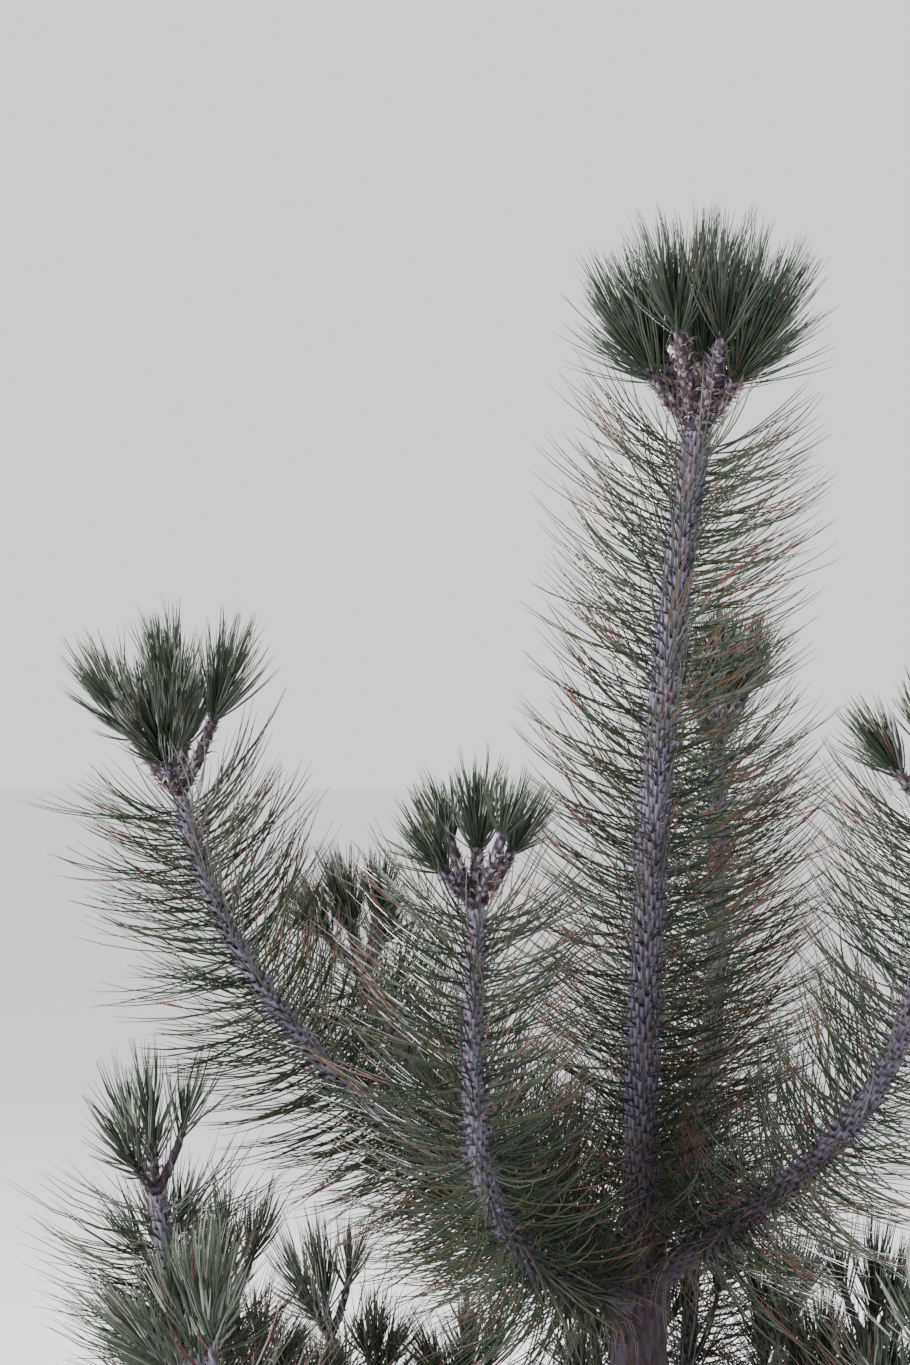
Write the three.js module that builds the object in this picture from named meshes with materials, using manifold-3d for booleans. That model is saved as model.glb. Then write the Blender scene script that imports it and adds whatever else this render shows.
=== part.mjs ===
// A young long-needled pine, two metres tall, rooted in the ground.
// A leaning leader with a long brush of needles stands over three whorls of boughs. Each bough sweeps out,
// turns upwards and ends in a cluster of short new shoots. Sizes are in millimetres and degrees, +Z is up
// and the origin is the middle of the flat cut at ground level.
import * as THREE from "three";
import { mergeVertices } from "three/addons/utils/BufferGeometryUtils.js";
import Module from "manifold-3d";

const wasm = await Module();
wasm.setup();

// Trunk: taper, flare, swellings at the whorls, and the leader's lean
const CROWN_HEIGHT = 1000;
const LEADER_LENGTH = 771;
const TRUNK_TOP = CROWN_HEIGHT + LEADER_LENGTH;
const FOOT_RADIUS = 36;
const CROWN_RADIUS = 24;
const LEADER_RADIUS = 15;
const LEADER_TIP_RADIUS = 13;
const FLARE = 16;
const FLARE_HEIGHT = 45;
const FLARE_LOBES = 5;
const KNUCKLE = 4;
const KNUCKLE_HEIGHT = 24;
const TOP_LEAN = 52;
const LEAN_POWER = 2.3;
const CROOK = 6;
const TRUNK_SIDES = 14;
const TRUNK_STEP = 110;

// Boughs: how far each whorl stands over the ground, and the thickness of its limbs
const LIMB_SIDES = 7;
const LIMB_STEPS = 12;
const SEAT_GAP = 0.35;
const LIMB_TIP_SHARE = 0.62;

// A whorl's boughs are [name, turn, length, rise at the foot, rise at the tip, bend starts, bend ends, lift].
// Turn is seen from above, from +X towards +Y. The bend is in shares of the length, and lift is the height
// at which the bough leaves the trunk, over its whorl.
const CROWN_BOUGHS = [
  ["left", 172, 642, 34, 81, 0.29, 1.17, -14],
  ["centre", 226, 490, 16, 92, 0.05, 0.8, -14],
  ["right", -25, 540, 37, 88, 0.19, 0.962, -2],
  ["rear_right", 66, 580, 25, 88, 0.1, 0.7, 12],
  ["rear_left", 140, 415, 22, 50, 0.1, 1.0, 18],
];
const SECOND_BOUGHS = [
  ["second_left", 176, 700, 17, 81, 0.13, 0.93, 0],
  ["second_front_left", 236, 825, 10, 74, 0.18, 0.94, -20],
  ["second_front_right", 300, 600, 18, 76, 0.15, 0.95, 12],
  ["second_right", 14, 420, 30, 84, 0.1, 1.0, -8],
  ["second_rear", 76, 560, 16, 76, 0.2, 0.95, 10],
  ["second_rear_left", 133, 525, 16, 68, 0.25, 1.13, -16],
];
const WHORLS = [
  { height: CROWN_HEIGHT, radius: 11.5, bare: 0.2, boughs: CROWN_BOUGHS },
  { height: 610, radius: 12.5, bare: 0.4, boughs: SECOND_BOUGHS },
  { height: 270, radius: 10.5, bare: 0.42, boughs: ringOfBoughs("third", 5, 44, 640, 10, 68) },
];

// Needles. Each solid spike stands for a spray of needles, so it is thicker than one of them.
const NEEDLE_SIDES = 3;
const NEEDLE_RADIUS = 2.2;
const NEEDLE_LENGTH = 140;
const NEEDLE_START = 80;
const NEEDLE_FINISH = 46;
const GOLDEN_ANGLE = 137.508;
const LEADER_MASSES = 4;
const LEADER_SPRAYS = 22;
const LEADER_BARE = 95;
const COLLAR_WALL = 4.5;
const COLLAR_GAP = 1.2;
const BRUSH_SPRAYS = 27;
const SHORTER_SPRAYS = [1, 0.82, 0.66];

// New shoots: a cluster at each tip, bare and scaly below and dense with short needles above
const CUP_ANGLE = 57;
const CUP_DROP = 26;
const SHOOT_SIDES = 3;
const NEW_NEEDLE_START = 34;
const NEW_NEEDLE_FINISH = 14;
const SHOOT_TAPER = 0.6;
const KNOB_SHARE = 0.28;
const CLUSTER_TURN = 54;
const MIDDLE_SHOOT = 1.1;
const TILT_SPREAD = 8;
const MIDDLE_LEAFY = 0.18;
const WEAK_BARE = 0.6;
const LONG_BARE = 1.2;
const LEADER_CLUSTER = {
  side: 8, length: 114, spread: 0.08, tilt: 35, radius: 8, bare: 0.62, needle: 86, sprays: 5,
};
const BOUGH_CLUSTER = {
  side: 4, length: 92, spread: 0.1, tilt: 36, radius: 6.6, bare: 0.6, needle: 66, sprays: 4,
};

// How strongly the new shoots of each crown bough have grown
const VIGOUR = { left: 1.1, centre: 0.8, right: 0.85, rear_right: 0.95, rear_left: 0.85 };

// Lower boughs: their sprays, and the two side twigs that leave where the needles begin
const LOWER_SPRAYS = 8;
const TIP_SPRAYS = 4;
const TWIG_TURN = 46;
const TWIG_FROM = 0.05;
const TWIG_SHARE = 0.7;
const TWIG_RISE = 24;
const TWIG_RADIUS = 0.62;
const TWIG_SPRAYS = 3;

// Clear space kept between the needles of neighbouring masses, and between the sprays of one mass
const SPACE_MARGIN = 3.5;
const SPRAY_GAP = 6;
const WELD = 1e-3;
const SLIVER = 0.25;
const UP = new THREE.Vector3(0, 0, 1);

const BARK = { color: 0x6d6570, roughness: 0.92, metalness: 0 };
const NEEDLES = { color: 0x35442f, roughness: 0.6, metalness: 0 };
const NEW_NEEDLES = { color: 0x44583a, roughness: 0.6, metalness: 0 };

function radians(degrees) {
  return THREE.MathUtils.degToRad(degrees);
}

function smooth(share) {
  return THREE.MathUtils.smoothstep(share, 0, 1);
}

// The same run of numbers from 0 to 1 for the same seed.
function seeded(seed) {
  let state = seed;
  return () => {
    state = (state * 1664525 + 1013904223) % 4294967296;
    return state / 4294967296;
  };
}

// The boughs of a whorl that spread evenly round the trunk, each a little longer or shorter than the last.
function ringOfBoughs(name, count, firstTurn, length, riseFoot, riseTip) {
  return Array.from({ length: count }, (_, i) => [
    `${name}_${i + 1}`,
    firstTurn + (360 / count) * i + 9 * Math.sin(2.1 * i),
    length * (1 + 0.1 * Math.cos(2.4 * i)),
    riseFoot + 4 * Math.sin(1.7 * i),
    riseTip,
    0.12,
    0.95,
    9 * Math.cos(2.9 * i),
  ]);
}

// The middle of the trunk at a height: a slight crook below the crown whorl, and a growing lean above it.
function trunkPoint(z) {
  const lean = Math.max(0, (z - CROWN_HEIGHT) / LEADER_LENGTH);
  const crook = CROOK * Math.sin(Math.PI * Math.min(1, z / CROWN_HEIGHT));
  return new THREE.Vector3(TOP_LEAN * lean ** LEAN_POWER - crook, 0, z);
}

function trunkRadius(z) {
  const { lerp } = THREE.MathUtils;
  const below = lerp(FOOT_RADIUS, CROWN_RADIUS, z / CROWN_HEIGHT);
  const above = lerp(LEADER_RADIUS, LEADER_TIP_RADIUS, (z - CROWN_HEIGHT) / LEADER_LENGTH);
  const taper = lerp(below, above, smooth((z - CROWN_HEIGHT) / 45 + 0.25));
  const knuckles = WHORLS.map((whorl) => KNUCKLE * Math.exp(-(((z - whorl.height) / KNUCKLE_HEIGHT) ** 2)));
  return taper + knuckles.reduce((sum, swelling) => sum + swelling, 0);
}

// A bough's middle line: it leaves the trunk at a low rise, turns upwards along its bend and keeps its turn.
function boughLine(height, turn, length, riseFoot, riseTip, bendStart, bendEnd) {
  const points = [trunkPoint(height)];
  for (let i = 0; i < LIMB_STEPS; i++) {
    const share = (i + 0.5) / LIMB_STEPS;
    const bend = smooth((share - bendStart) / (bendEnd - bendStart));
    const rise = radians(riseFoot + (riseTip - riseFoot) * bend);
    const heading = new THREE.Vector3(Math.cos(radians(turn)), Math.sin(radians(turn)), 0);
    heading.multiplyScalar(Math.cos(rise)).addScaledVector(UP, Math.sin(rise));
    points.push(points.at(-1).clone().addScaledVector(heading, length / LIMB_STEPS));
  }
  return points;
}

// A side twig's middle line: it leaves its bough to one hand and turns upwards over its whole length.
function twigLine({ point, heading }, turn, hand, length, riseTip) {
  const riseFoot = THREE.MathUtils.radToDeg(Math.asin(heading.z)) - TWIG_RISE;
  const line = boughLine(0, turn + hand * TWIG_TURN, length, riseFoot, riseTip, -0.2, 1);
  const moved = line.map((step) => step.sub(trunkPoint(0)).add(point));
  return moved.filter((_, i) => i % 2 === 0);
}

// The point and the direction at a share of the way along a line of evenly spaced points.
function along(line, share) {
  const place = THREE.MathUtils.clamp(share, 0, 1) * (line.length - 1);
  const i = Math.min(Math.floor(place), line.length - 2);
  const point = line[i].clone().lerp(line[i + 1], place - i);
  return { point, heading: line[i + 1].clone().sub(line[i]).normalize() };
}

function stretchOf(line, from, to, steps) {
  return Array.from({ length: steps + 1 }, (_, i) => along(line, from + ((to - from) * i) / steps).point);
}

// Two directions square to a heading and to each other.
function acrossFrom(heading, guide) {
  const side = guide.clone().addScaledVector(heading, -guide.dot(heading)).normalize();
  return { side, up: side.clone().cross(heading) };
}

// Closed tapering limb: a cylinder's rings, or a cone's where it ends in a point, carried along a line.
function limbGeometry(line, radiusAt, sides) {
  const rings = line.length - 1;
  const pointed = radiusAt(1) === 0;
  const geometry = pointed
    ? new THREE.ConeGeometry(1, 1, sides, rings)
    : new THREE.CylinderGeometry(1, 1, 1, sides, rings);
  const frames = [];
  let guide = Math.abs(along(line, 0).heading.z) > 0.9 ? new THREE.Vector3(1, 0, 0) : UP;
  line.forEach((point, i) => {
    const heading = line[Math.min(i + 1, rings)].clone().sub(line[Math.max(i - 1, 0)]).normalize();
    const frame = acrossFrom(heading, guide);
    frames.push({ point, ...frame });
    guide = frame.side;
  });
  const position = geometry.getAttribute("position");
  for (let v = 0; v < position.count; v++) {
    const ring = Math.round((position.getY(v) + 0.5) * rings);
    const { point, side, up } = frames[ring];
    const spoke = Math.hypot(position.getX(v), position.getZ(v));
    const angle = Math.atan2(position.getZ(v), position.getX(v));
    const radius = spoke > 0.01 ? radiusAt(ring / rings, angle) : 0;
    const place = point.clone();
    place.addScaledVector(side, radius * Math.cos(angle));
    place.addScaledVector(up, radius * Math.sin(angle));
    position.setXYZ(v, place.x, place.y, place.z);
  }
  return geometry;
}

function solidOf(geometry) {
  geometry.deleteAttribute("normal");
  geometry.deleteAttribute("uv");
  const merged = mergeVertices(geometry, WELD);
  const mesh = { numProp: 3, vertProperties: merged.getAttribute("position").array };
  return new wasm.Manifold(new wasm.Mesh({ ...mesh, triVerts: new Uint32Array(merged.index.array) }));
}

function limbSolid(line, radiusAt, sides) {
  return solidOf(limbGeometry(line, radiusAt, sides));
}

function evenTaper(from, to) {
  return (share) => from + (to - from) * share;
}

// What a solid keeps on one side of a plane set square across a limb.
function cutAcross(solid, { point, heading }, side, clearance) {
  const facing = heading.clone().multiplyScalar(side);
  return solid.trimByPlane(facing.toArray(), facing.dot(point) + clearance);
}

// The whole trunk, its rings close together at the flare and at the whorls. The foot is cut flat. As a cutter
// it is grown outwards by a clearance, and one with fewer sides is widened until its flats clear the trunk.
function trunkSolid(clearance, sides) {
  const widen = sides < TRUNK_SIDES ? 1 / Math.cos(Math.PI / sides) : 1;
  const levels = [-30, 0, 12, 30, 60, TRUNK_TOP];
  for (const { height } of WHORLS) levels.push(height - 45, height - 14, height + 14, height + 45);
  for (let z = 150; z < TRUNK_TOP - 50; z += TRUNK_STEP) {
    if (levels.every((level) => Math.abs(level - z) > TRUNK_STEP * 0.45)) levels.push(z);
  }
  levels.sort((a, b) => a - b);
  const line = levels.map(trunkPoint);
  const radiusAt = (share, angle) => {
    const z = levels[Math.round(share * (levels.length - 1))];
    const flare = FLARE * Math.exp(-Math.max(0, z) / FLARE_HEIGHT);
    const lobes = 1 + 0.35 * Math.cos(FLARE_LOBES * angle + 0.6);
    return (trunkRadius(z) + flare * lobes) * widen + clearance;
  };
  return limbSolid(line, radiusAt, sides).trimByPlane([0, 0, 1], 0);
}

// Shortest distance from a point to any of several lines.
const nearest = new THREE.Vector3();
function distanceTo(lines, point) {
  let best = Infinity;
  const piece = new THREE.Line3();
  for (const line of lines) {
    for (let i = 1; i < line.length; i++) {
      piece.set(line[i - 1], line[i]).closestPointToPoint(point, true, nearest);
      best = Math.min(best, nearest.distanceTo(point));
    }
  }
  return best;
}

// The cup over a tip: its needles are the cluster's, and those outside it are the brush's.
function cupDepth(tip, heading, point) {
  const from = point.clone().sub(tip).addScaledVector(heading, CUP_DROP);
  const height = from.dot(heading);
  const out = Math.sqrt(Math.max(0, from.lengthSq() - height * height));
  return height * Math.sin(radians(CUP_ANGLE)) - out * Math.cos(radians(CUP_ANGLE));
}

// One spray as a bent three-sided spike that leaves its shoot steeply and curves towards the shoot's tip.
function sprayLine(root, heading, out, length, start, finish, bends) {
  const points = [root.clone()];
  for (let i = 0; i < bends; i++) {
    const lean = radians(start + ((finish - start) * (i + 0.5)) / bends);
    const step = out.clone().multiplyScalar(Math.sin(lean)).addScaledVector(heading, Math.cos(lean));
    points.push(points.at(-1).clone().addScaledVector(step, length / bends));
  }
  return points;
}

// A mass in the making: the space it keeps to, the solids it is joined from and the lines of its sprays.
function newMass(seed, inSpace, ...solids) {
  return { random: seeded(seed), inSpace, solids, sprays: [] };
}

// Sprays set round a shoot in a spiral. One that leaves the mass's space or comes too near another spray is
// tried shorter, and then skipped.
function addSprays(mass, line, from, to, sprays) {
  const { random, inSpace } = mass;
  const isFree = (point) => inSpace(point) && distanceTo(mass.sprays, point) > SPRAY_GAP;
  for (let i = 0; i < sprays.count; i++) {
    const { point, heading } = along(line, from + ((to - from) * (i + 0.5)) / sprays.count);
    const { side, up } = acrossFrom(heading, Math.abs(heading.x) > 0.9 ? UP : new THREE.Vector3(1, 0, 0));
    const turn = radians(GOLDEN_ANGLE * i + 14 * (random() - 0.5) + sprays.turn);
    const out = side.multiplyScalar(Math.cos(turn)).addScaledVector(up, Math.sin(turn));
    const root = point.clone().addScaledVector(out, sprays.root);
    const swing = 8 * (random() - 0.5);
    const full = sprays.length * (0.92 + 0.16 * random());
    for (const share of SHORTER_SPRAYS) {
      const angles = [sprays.start + swing, sprays.finish + swing];
      const spray = sprayLine(root, heading, out, full * share, ...angles, sprays.bends);
      if (!stretchOf(spray, 0.3, 1, 5).every(isFree)) continue;
      mass.sprays.push(spray);
      mass.solids.push(limbSolid(spray, (s) => (s === 1 ? 0 : NEEDLE_RADIUS * (1 - 0.25 * s)), NEEDLE_SIDES));
      break;
    }
  }
}

// A bough's cluster, its shoots and needles made longer or shorter. A weak one is bare for longer.
function grownBy(share) {
  const { length, needle } = BOUGH_CLUSTER;
  const bare = BOUGH_CLUSTER.bare + WEAK_BARE * (1 - share);
  return { ...BOUGH_CLUSTER, length: length * share, needle: needle * share, bare };
}

// The new shoots at a tip, as lines: one in the middle and others leaning out round it.
function clusterLines(tip, heading, cluster, turn) {
  const { side, up } = acrossFrom(heading, Math.abs(heading.x) > 0.9 ? UP : new THREE.Vector3(1, 0, 0));
  const lines = [sprayLine(tip, heading, side, cluster.length * MIDDLE_SHOOT, 0, 0, 3)];
  for (let i = 0; i < cluster.side; i++) {
    const angle = radians(turn + (360 / cluster.side) * i + 12 * Math.sin(2.3 * i));
    const out = side.clone().multiplyScalar(Math.cos(angle)).addScaledVector(up, Math.sin(angle));
    const length = cluster.length * (1 + cluster.spread * Math.cos(2.6 * i));
    const tilt = cluster.tilt + TILT_SPREAD * Math.cos(2.4 * (i - 1));
    lines.push(sprayLine(tip, heading, out, length, tilt + 8, tilt - 12, 3));
  }
  return lines;
}

// A cluster's shoots, and the needles over their bare feet. The middle shoot is leafy from lower down, and
// a side shoot that is longer than the others is bare for longer.
function addCluster(mass, lines, cluster) {
  const longer = (i) => cluster.spread * Math.cos(2.6 * (i - 1));
  const bareOf = (i) => cluster.bare + (i === 0 ? -MIDDLE_LEAFY : LONG_BARE * longer(i));
  lines.forEach((line, i) => {
    const shoot = [along(line, 0.02).point, line.at(-1)];
    mass.solids.push(limbSolid(shoot, evenTaper(cluster.radius, cluster.radius * SHOOT_TAPER), SHOOT_SIDES));
    const sprays = { count: cluster.sprays, root: 1, length: cluster.needle, bends: 1, turn: 40 * i };
    addSprays(mass, line, bareOf(i), 1, { ...sprays, start: NEW_NEEDLE_START, finish: NEW_NEEDLE_FINISH });
  });
}

// One closed body from many: the largest piece of their union, without loose scraps or sliver triangles.
function fused(solids) {
  const bodies = wasm.Manifold.union(solids).decompose();
  return bodies.reduce((best, body) => (body.volume() > best.volume() ? body : best)).simplify(SLIVER);
}

function meshOf(name, solid, finish) {
  const { numProp, vertProperties, triVerts } = solid.getMesh();
  const buffer = new THREE.InterleavedBuffer(vertProperties, numProp);
  const position = new THREE.InterleavedBufferAttribute(buffer, 3, 0);
  const geometry = new THREE.BufferGeometry();
  geometry.setAttribute("position", position);
  geometry.setIndex(new THREE.BufferAttribute(triVerts, 1));
  const shape = geometry.toNonIndexed();
  shape.computeVertexNormals();
  const mesh = new THREE.Mesh(shape, new THREE.MeshStandardMaterial(finish));
  mesh.name = name;
  return mesh;
}

const tree = new THREE.Group();
const seatCutter = trunkSolid(SEAT_GAP, TRUNK_SIDES);
const boreCutter = trunkSolid(SEAT_GAP, LIMB_SIDES);
tree.add(meshOf("trunk", trunkSolid(0, TRUNK_SIDES), BARK));

// Every limb with its middle lines, so that each mass can keep to its own side of its neighbours
const trunkLine = Array.from({ length: 37 }, (_, i) => trunkPoint((TRUNK_TOP * i) / 36));
const limbs = [{ name: "leader", lines: [trunkLine] }];

for (const whorl of WHORLS) {
  for (const [name, turn, length, riseFoot, riseTip, bendStart, bendEnd, lift] of whorl.boughs) {
    const line = boughLine(whorl.height + lift, turn, length, riseFoot, riseTip, bendStart, bendEnd);
    const from = whorl.bare + TWIG_FROM;
    const twigLength = length * (1 - from) * TWIG_SHARE;
    const hands = whorl.height < CROWN_HEIGHT ? [-1, 1] : [];
    const twigs = hands.map((hand) => twigLine(along(line, from), turn, hand, twigLength, riseTip));
    limbs.push({ name, whorl, line, twigs, lines: [line, ...twigs] });
  }
}

// A limb's own space: the points that are nearer to it than to any other limb, and above the ground.
function ownSpace(limb, isInside) {
  const others = limbs.filter((other) => other !== limb).flatMap((other) => other.lines);
  const isNearest = (point) => distanceTo(limb.lines, point) + 2 * SPACE_MARGIN < distanceTo(others, point);
  return (point) => point.z > SPACE_MARGIN && isInside(point) && isNearest(point);
}

// Leader: a stack of collars round the trunk, with needles that bend up past the collar above
// and keep clear of its sprays
const leader = limbs[0];
const leaderTip = along(trunkLine, 1);
const leaderFrom = CROWN_HEIGHT + LEADER_BARE;
const collarHeight = (TRUNK_TOP - CUP_DROP - leaderFrom) / LEADER_MASSES;
const leaderSprays = [];
for (let k = 0; k < LEADER_MASSES; k++) {
  const low = leaderFrom + collarHeight * k;
  const high = low + collarHeight - COLLAR_GAP;
  const line = [low, (low + high) / 2, high].map(trunkPoint);
  const collarRadius = (share) => trunkRadius(low + (high - low) * share) + COLLAR_WALL;
  const collar = limbSolid(line, collarRadius, LIMB_SIDES);
  const outOfCup = (point) => cupDepth(leaderTip.point, leaderTip.heading, point) < -SPACE_MARGIN;
  const mass = { ...newMass(11 + k, ownSpace(leader, outOfCup), collar), sprays: leaderSprays };
  const angles = { start: NEEDLE_START, finish: NEEDLE_FINISH, turn: 50 * k };
  const sprays = { count: LEADER_SPRAYS, root: LEADER_RADIUS + 1.5, length: NEEDLE_LENGTH, bends: 2 };
  addSprays(mass, line, 0.03, 0.97, { ...sprays, ...angles });
  tree.add(meshOf(`leader_needles_${k + 1}`, fused(mass.solids).subtract(boreCutter), NEEDLES));
}

// A cluster of new shoots on a knob that sits on a limb's tip. It stands halfway between the limb's own
// direction and upright.
function clusterOn(limb, tip, radius, cluster, seed) {
  const inCup = (point) => cupDepth(tip.point, tip.heading, point) > SPACE_MARGIN;
  const start = tip.point.clone().addScaledVector(tip.heading, SEAT_GAP);
  const upwards = tip.heading.clone().add(UP).normalize();
  const lines = clusterLines(start, upwards, cluster, seed * CLUSTER_TURN);
  const knobLine = [start, start.clone().addScaledVector(tip.heading, cluster.length * KNOB_SHARE)];
  const knob = limbSolid(knobLine, evenTaper(radius * 0.96, radius * 0.8), LIMB_SIDES);
  const mass = newMass(seed, ownSpace(limb, inCup), knob);
  addCluster(mass, lines, cluster);
  return cutAcross(fused(mass.solids), tip, 1, SEAT_GAP);
}

const leaderTuft = clusterOn(leader, leaderTip, LEADER_TIP_RADIUS, LEADER_CLUSTER, 9);
tree.add(meshOf("leader_tuft", leaderTuft, NEW_NEEDLES));

// Boughs: the bare limb up to its needles, then the needle-clad shoot, then the cluster at its tip
limbs.slice(1).forEach((limb, i) => {
  const { name, whorl, line, twigs } = limb;
  const radiusAt = evenTaper(whorl.radius, whorl.radius * LIMB_TIP_SHARE);
  const bareEnd = whorl.bare;
  const seat = along(line, bareEnd);
  const tip = along(line, 1);
  const beyond = tip.point.clone().addScaledVector(tip.heading, whorl.radius);
  const whole = limbSolid([...stretchOf(line, 0, 1, 9), beyond], radiusAt, LIMB_SIDES);
  const foot = cutAcross(whole, seat, -1, 0).subtract(seatCutter);
  const shoot = cutAcross(cutAcross(whole, seat, 1, SEAT_GAP), tip, -1, 0);
  tree.add(meshOf(`bough_${name}`, foot, BARK));

  const angles = { start: NEEDLE_START, finish: NEEDLE_FINISH };
  const sprays = { root: whorl.radius * 0.4, length: NEEDLE_LENGTH, bends: 1, turn: 70 * i, ...angles };
  if (whorl.height === CROWN_HEIGHT) {
    const outOfCup = (point) => cupDepth(tip.point, tip.heading, point) < -SPACE_MARGIN;
    const mass = newMass(101 + i, ownSpace(limb, outOfCup), shoot);
    addSprays(mass, line, bareEnd + 0.04, 0.97, { ...sprays, count: BRUSH_SPRAYS });
    tree.add(meshOf(`needles_${name}`, fused(mass.solids), NEEDLES));
    const tuft = clusterOn(limb, tip, radiusAt(1), grownBy(VIGOUR[name]), 20 + i);
    tree.add(meshOf(`tuft_${name}`, tuft, NEW_NEEDLES));
    return;
  }
  const forward = { ...sprays, root: 1, start: NEW_NEEDLE_START, finish: NEW_NEEDLE_FINISH };
  const mass = newMass(101 + i, ownSpace(limb, () => true), shoot);
  addSprays(mass, line, bareEnd + 0.06, 0.92, { ...sprays, count: LOWER_SPRAYS });
  addSprays(mass, line, 0.93, 1, { ...forward, count: TIP_SPRAYS });
  twigs.forEach((twig) => {
    const slim = radiusAt(bareEnd) * TWIG_RADIUS;
    mass.solids.push(limbSolid(stretchOf(twig, 0, 1, 2), evenTaper(slim, slim * SHOOT_TAPER), SHOOT_SIDES));
    addSprays(mass, twig, 0.3, 0.86, { ...sprays, root: 1, count: TWIG_SPRAYS, length: NEEDLE_LENGTH * 0.9 });
    addSprays(mass, twig, 0.9, 1, { ...forward, count: TWIG_SPRAYS, length: NEEDLE_LENGTH * 0.8 });
  });
  tree.add(meshOf(`needles_${name}`, fused(mass.solids), NEEDLES));
});

export default tree;
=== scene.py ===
import math
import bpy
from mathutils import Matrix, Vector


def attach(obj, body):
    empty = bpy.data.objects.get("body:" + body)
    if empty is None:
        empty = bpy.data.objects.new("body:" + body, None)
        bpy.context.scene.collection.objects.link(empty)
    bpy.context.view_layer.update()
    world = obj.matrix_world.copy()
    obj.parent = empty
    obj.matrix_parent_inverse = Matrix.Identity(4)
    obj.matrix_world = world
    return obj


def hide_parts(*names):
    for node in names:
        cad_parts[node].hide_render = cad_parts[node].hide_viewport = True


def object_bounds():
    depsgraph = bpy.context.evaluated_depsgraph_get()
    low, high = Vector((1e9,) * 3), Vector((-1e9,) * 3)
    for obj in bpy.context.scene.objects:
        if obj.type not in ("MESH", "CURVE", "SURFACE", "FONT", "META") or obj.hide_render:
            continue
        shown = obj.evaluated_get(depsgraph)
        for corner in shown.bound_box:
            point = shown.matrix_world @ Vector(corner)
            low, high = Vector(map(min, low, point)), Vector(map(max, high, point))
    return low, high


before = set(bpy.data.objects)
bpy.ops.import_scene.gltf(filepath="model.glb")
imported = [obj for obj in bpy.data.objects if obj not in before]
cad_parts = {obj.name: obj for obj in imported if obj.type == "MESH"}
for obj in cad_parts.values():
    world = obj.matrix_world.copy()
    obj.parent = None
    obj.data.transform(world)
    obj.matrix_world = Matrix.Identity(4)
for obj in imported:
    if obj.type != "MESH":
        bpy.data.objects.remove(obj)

from types import SimpleNamespace

import bpy
import numpy as np

cad_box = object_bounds()

# Trunk: one stem of living wood under grey-purple bark, flared at the ground and cut flat there. Below the
# crown whorl the bark has cracked into long plates. The leader above it is one year's growth, and still has
# the ridged cushions that its needles stand on. Sizes are in millimetres, and angles in degrees.
MM = 0.001
CROWN_HEIGHT, SECOND_HEIGHT, THIRD_HEIGHT = 1000, 610, 270
LEADER_LENGTH = 771
TRUNK_TOP = CROWN_HEIGHT + LEADER_LENGTH
FOOT_RADIUS, CROWN_RADIUS = 36, 24
LEADER_RADIUS, LEADER_TIP_RADIUS = 15, 13
FLARE, FLARE_HEIGHT, FLARE_LOBES = 16, 45, 5
LOBE_DEPTH, LOBE_TURN = 0.35, 0.6
KNUCKLE, KNUCKLE_HEIGHT = 4, 24
TOP_LEAN, LEAN_POWER, CROOK = 52, 2.3, 6
SHOULDER_HEIGHT, SHOULDER_SHARE = 45, 0.25
TRUNK_SIDES = 96
FOOT_STEP, FOOT_TOP, STEM_STEP, STEM_TOP, LEADER_RINGS = 2.5, 60, 2.6, 960, 500
YOUNG_FROM, YOUNG_OVER = 930, 100
GOLDEN_ANGLE = 137.508
STEEP = 0.9
LEADER_PITCH, PLATE_PITCH = 0.74, 2.6
PLATE_DEPTH, CUSHION_DEPTH = (2.6, 1.6), (1.3, 0.5)
PLATE_TONES, CUSHION_TONES = (0.16, 0.5), (0.2, 0.8)
TRUNK_DOME, DOME_ROUNDNESS = 9, 0.99
# Painted shade round the crown whorl: how much it darkens the bark, the height of its middle and its spread.
PAINTED_WHORL_SHADE, PAINTED_SHADE_MIDDLE, PAINTED_SHADE_HEIGHT = 0.42, CROWN_HEIGHT + 20, 85


def smooth(share):
    share = np.clip(share, 0, 1)
    return share * share * (3 - 2 * share)


def blend(low, high, share):
    return low + (high - low) * share


def trunk_point(z):
    """The middle of the trunk: a slight crook below the crown whorl, and a growing lean above it."""
    z = np.asarray(z, float)
    lean = np.maximum(0, (z - CROWN_HEIGHT) / LEADER_LENGTH)
    crook = CROOK * np.sin(np.pi * np.minimum(1, z / CROWN_HEIGHT))
    return np.stack([TOP_LEAN * lean**LEAN_POWER - crook, np.zeros_like(z), z], -1)


def trunk_radius(z):
    z = np.asarray(z, float)
    below = blend(FOOT_RADIUS, CROWN_RADIUS, z / CROWN_HEIGHT)
    above = blend(LEADER_RADIUS, LEADER_TIP_RADIUS, (z - CROWN_HEIGHT) / LEADER_LENGTH)
    taper = blend(below, above, smooth((z - CROWN_HEIGHT) / SHOULDER_HEIGHT + SHOULDER_SHARE))
    for height in (CROWN_HEIGHT, SECOND_HEIGHT, THIRD_HEIGHT):
        taper = taper + KNUCKLE * np.exp(-(((z - height) / KNUCKLE_HEIGHT) ** 2))
    return taper


def limb_along(points):
    """A middle line with its headings, and two directions square to them that don't twist on the way."""
    heading = np.gradient(points, axis=0)
    heading /= np.linalg.norm(heading, axis=1)[:, None]
    guide = np.array([1.0, 0, 0]) if abs(heading[0, 2]) > STEEP else np.array([0, 0, 1.0])
    side = np.empty_like(heading)
    for i, ahead in enumerate(heading):
        guide = guide - ahead * guide.dot(ahead)
        guide = side[i] = guide / np.linalg.norm(guide)
    gaps = np.linalg.norm(np.diff(points, axis=0), axis=1)
    reach = np.concatenate([[0], np.cumsum(gaps)])
    return SimpleNamespace(points=points, heading=heading, side=side, up=np.cross(side, heading), reach=reach)


SCATTER_STEP, SCATTER_SPREAD, WANDER_ALONG = 12.9898, 43758.5453, 4


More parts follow.
